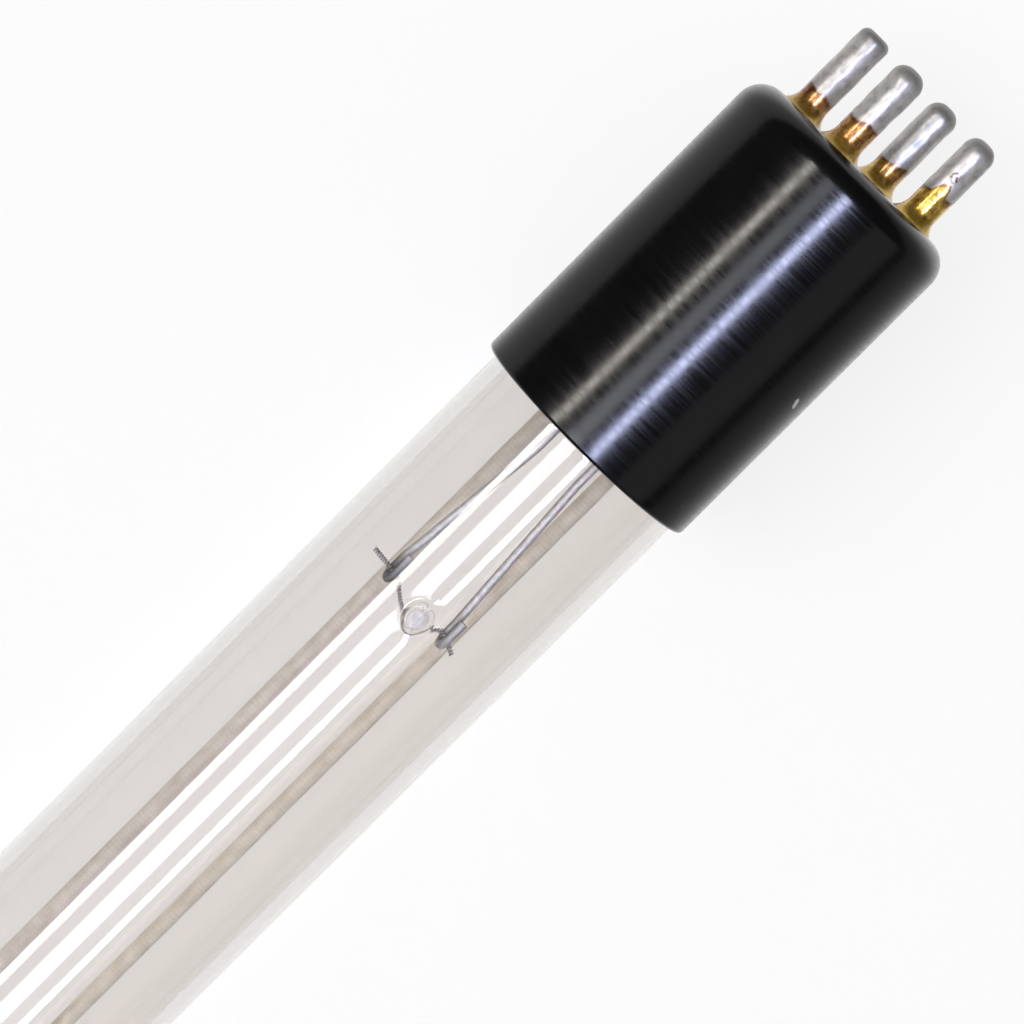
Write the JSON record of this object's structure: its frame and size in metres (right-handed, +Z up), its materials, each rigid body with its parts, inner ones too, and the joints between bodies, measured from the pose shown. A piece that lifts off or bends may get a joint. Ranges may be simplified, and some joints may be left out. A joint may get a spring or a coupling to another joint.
{
  "type": "single-ended ultraviolet germicidal lamp tube",
  "caption": "Straight clear quartz discharge tube with a coil at each end, black end caps and contact pins at one end.",
  "frame": {"origin": "middle of the underside of the lamp's bounding box, on the surface it lies on", "axes": "+X along the lamp's axis towards the contact pins, +Z up"},
  "size_m": [0.219, 0.0178, 0.0184],
  "materials": {
    "black_cap": "satin",
    "brass": "satin",
    "solder": "satin",
    "quartz": "clear",
    "cement": "matt",
    "molybdenum": "bright",
    "nickel": "bright",
    "tungsten": "dull",
    "lead_wire": "bright",
    "glass_sleeve": "woven",
    "mercury": "bright"
  },
  "bodies": {
    "root": {"base_cap": "black_cap", "base_cement": "cement", "contact_pin_1": "brass", "contact_pin_2": "brass", "contact_pin_3": "brass", "contact_pin_4": "brass", "far_cap": "black_cap", "far_cement": "cement", "filament_coil_1": "tungsten", "filament_coil_2": "tungsten", "lead_post_1": "nickel", "lead_post_2": "nickel", "lead_post_3": "nickel", "lead_post_4": "nickel", "mercury_bead": "mercury", "outer_lead_1": "lead_wire", "outer_lead_2": "lead_wire", "pin_solder_1": "solder", "pin_solder_2": "solder", "pin_solder_3": "solder", "pin_solder_4": "solder", "quartz_tube": "quartz", "return_sleeve_1": "glass_sleeve", "return_sleeve_2": "glass_sleeve", "return_wire_1": "lead_wire", "return_wire_2": "lead_wire", "seal_foil_1": "molybdenum", "seal_foil_2": "molybdenum", "seal_foil_3": "molybdenum", "seal_foil_4": "molybdenum"}
  },
  "joints": []
}
